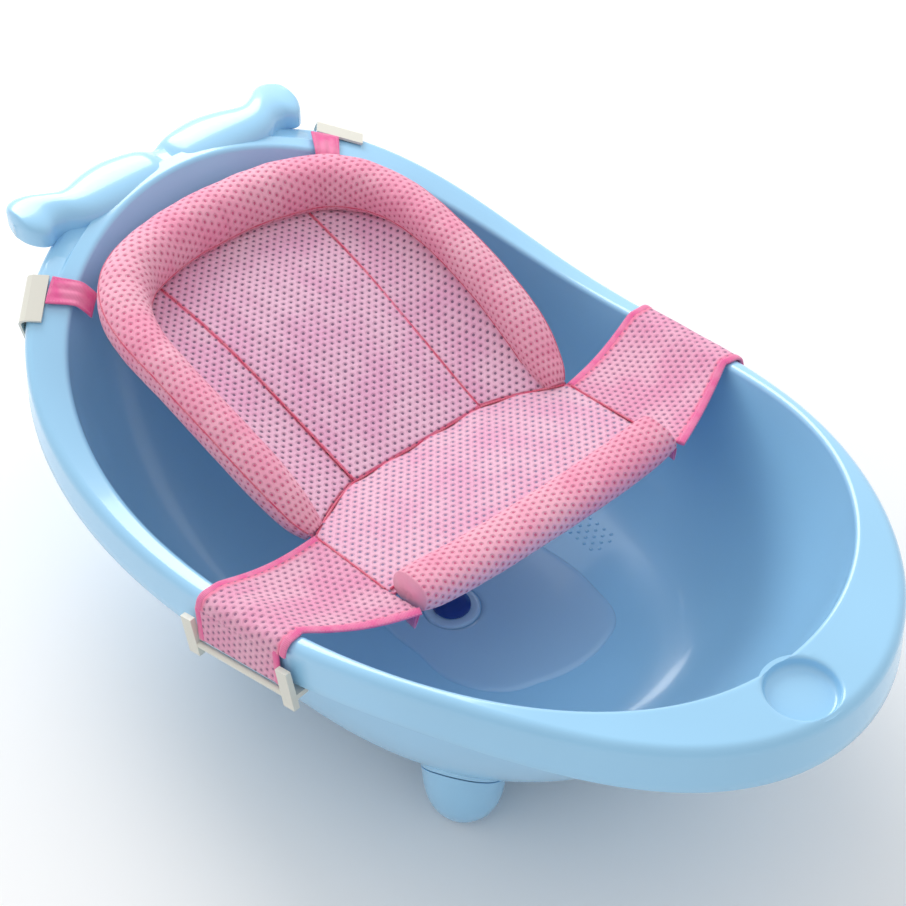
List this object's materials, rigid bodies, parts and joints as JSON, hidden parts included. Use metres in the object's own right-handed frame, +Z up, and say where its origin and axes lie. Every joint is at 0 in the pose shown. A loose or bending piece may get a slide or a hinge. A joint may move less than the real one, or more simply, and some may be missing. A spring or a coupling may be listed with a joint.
{
  "type": "baby bathtub",
  "caption": "Moulded baby bathtub with a rolled rim, tail-shaped handle, deck recess, feet and drain plug, and a hooked-on mesh bath sling with a padded head bolster.",
  "frame": {"origin": "centre of the outline in plan, on the ground the feet stand on", "axes": "+X from the tail handle at the head end to the wide front deck, +Y to the tub's left side, +Z up"},
  "size_m": [0.8154, 0.5009, 0.264],
  "materials": {
    "tub_plastic": "pale blue, glossy",
    "seat_plastic": "pale blue, glossy",
    "plug_plastic": "navy, glossy",
    "mesh_pink": "pink spacer mesh",
    "mesh_pale": "pale pink spacer mesh",
    "tape_pink": "deep pink woven tape",
    "clip_grey": "warm grey, satin"
  },
  "bodies": {
    "tub": {"tub_shell": "tub_plastic", "drain_seat_ring": "seat_plastic", "foot_cap_front_left": "tub_plastic", "foot_cap_front_right": "tub_plastic", "foot_cap_rear_left": "tub_plastic", "foot_cap_rear_right": "tub_plastic", "sling_back_panel": "mesh_pale", "sling_back_gusset_left": "mesh_pale", "sling_back_gusset_right": "mesh_pale", "sling_head_bolster": "mesh_pink", "sling_seat_panel": "mesh_pale", "sling_front_roll": "mesh_pink", "sling_roll_tab_left": "tape_pink", "sling_roll_tab_right": "tape_pink", "sling_wing_left": "mesh_pink", "wing_tape_front_left": "tape_pink", "wing_tape_rear_left": "tape_pink", "sling_top_strap_left": "tape_pink", "sling_wing_right": "mesh_pink", "wing_tape_front_right": "tape_pink", "wing_tape_rear_right": "tape_pink", "sling_top_strap_right": "tape_pink"},
    "plug": {"drain_plug": "plug_plastic"},
    "hook_left": {"side_hook_left": "clip_grey", "wing_flap_left": "mesh_pink"},
    "clip_left": {"strap_clip_left": "clip_grey"},
    "hook_right": {"side_hook_right": "clip_grey", "wing_flap_right": "mesh_pink"},
    "clip_right": {"strap_clip_right": "clip_grey"}
  },
  "joints": [
    {"name": "plug_pull", "type": "slide", "parent": "tub", "child": "plug", "axis": [0, 0, 1], "range_m": [0, 0.03]},
    {"name": "hook_swing_left", "type": "hinge", "parent": "tub", "child": "hook_left", "pos_m": [0.0348, 0.24188, 0.18757], "axis": [0.9719, -0.0937, 0.2158], "range_deg": [0, 40]},
    {"name": "clip_swing_left", "type": "hinge", "parent": "tub", "child": "clip_left", "pos_m": [-0.3216, 0.15151, 0.23176], "axis": [0.6076, 0.7237, -0.3271], "range_deg": [0, 40]},
    {"name": "hook_swing_right", "type": "hinge", "parent": "tub", "child": "hook_right", "pos_m": [0.04755, -0.24116, 0.18983], "axis": [-0.9685, -0.1047, -0.2259], "range_deg": [0, 40]},
    {"name": "clip_swing_right", "type": "hinge", "parent": "tub", "child": "clip_right", "pos_m": [-0.31059, -0.16341, 0.22607], "axis": [-0.6663, 0.665, 0.3373], "range_deg": [0, 40]}
  ]
}
